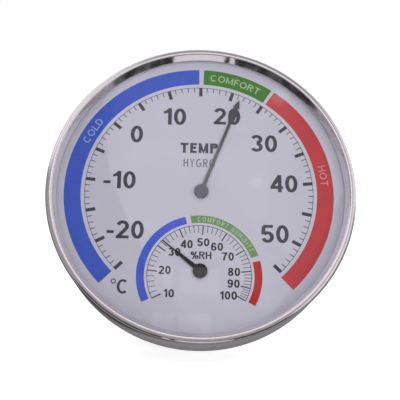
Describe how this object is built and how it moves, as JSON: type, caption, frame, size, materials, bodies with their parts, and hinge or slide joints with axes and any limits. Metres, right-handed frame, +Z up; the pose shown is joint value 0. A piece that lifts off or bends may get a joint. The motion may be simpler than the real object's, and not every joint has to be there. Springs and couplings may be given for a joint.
{
  "type": "dial thermometer and hygrometer",
  "caption": "Round instrument with a chromed bezel, a printed dial, a temperature pointer, a small humidity pointer, a keyhole hanger and a fold-out stand.",
  "frame": {"origin": "on the floor under the middle of the instrument's box, with the instrument leaning back on its open stand", "axes": "+Z up, -Y towards the reader, +X to the reader's right; the dial's normal lies in the YZ plane, leaning back 28 degrees"},
  "size_m": [0.1322, 0.083, 0.1268],
  "materials": {
    "bezel": "polished chrome plate",
    "window": "clear, polished",
    "spacer": "satin",
    "dial": "satin white paint, printed",
    "case": "fine texture",
    "cover": "fine texture",
    "standoff": "turned",
    "bridge": "stamped",
    "screws": "zinc plated",
    "bush": "turned",
    "clips": "spring steel",
    "adjuster": "stamped",
    "stud": "turned",
    "bimetal": "rolled strip",
    "humidity_strip": "rolled strip",
    "collet": "turned",
    "arbor": "turned",
    "thermo_hand": "satin grey paint",
    "hygro_hand": "satin black paint",
    "stand": "fine texture",
    "hinge_pin": "drawn wire"
  },
  "bodies": {
    "case": {"front_bezel": "bezel", "lens": "window", "spacer_ring": "spacer", "dial_plate": "dial", "case_ring": "case", "rear_cover": "cover", "standoffs": "standoff", "thermo_bridge": "bridge", "hygro_bridge": "bridge", "bridge_screws": "screws", "thermo_bush": "bush", "hygro_bush": "bush", "adjuster_clips": "clips", "stand_hinge_pin": "hinge_pin"},
    "thermo_adjuster": {"thermo_adjuster": "adjuster", "thermo_coil_stud": "stud", "thermo_coil": "bimetal"},
    "thermo_spindle": {"thermo_arbor": "arbor", "thermo_collet": "collet", "thermo_pointer": "thermo_hand"},
    "hygro_adjuster": {"hygro_adjuster": "adjuster", "hygro_coil_stud": "stud", "hygro_coil": "humidity_strip"},
    "hygro_spindle": {"hygro_arbor": "arbor", "hygro_collet": "collet", "hygro_pointer": "hygro_hand"},
    "stand": {"stand_leg": "stand"}
  },
  "joints": [
    {"name": "thermo_calibration", "type": "hinge", "parent": "case", "child": "thermo_adjuster", "pos_m": [0, -0.00211, 0.06438], "axis": [0, 0.8829, -0.4695], "range_deg": [-10, 10]},
    {"name": "thermo_turn", "type": "hinge", "parent": "thermo_adjuster", "child": "thermo_spindle", "pos_m": [0, -0.00653, 0.06672], "axis": [0, 0.8829, -0.4695], "range_deg": [-155.7, 114.3], "stiffness_Nm_per_rad": 0.002, "deforming": ["thermo_coil"]},
    {"name": "hygro_calibration", "type": "hinge", "parent": "case", "child": "hygro_adjuster", "pos_m": [0, -0.01854, 0.03347], "axis": [0, 0.8829, -0.4695], "range_deg": [-10, 10]},
    {"name": "hygro_turn", "type": "hinge", "parent": "hygro_adjuster", "child": "hygro_spindle", "pos_m": [0, -0.02296, 0.03582], "axis": [0, 0.8829, -0.4695], "range_deg": [-65.75, 168.75], "stiffness_Nm_per_rad": 0.002, "deforming": ["hygro_coil"]},
    {"name": "stand_fold", "type": "hinge", "parent": "case", "child": "stand", "pos_m": [0, 0.01858, 0.07603], "axis": [-1, 0, 0], "range_deg": [0, 40.26]}
  ]
}
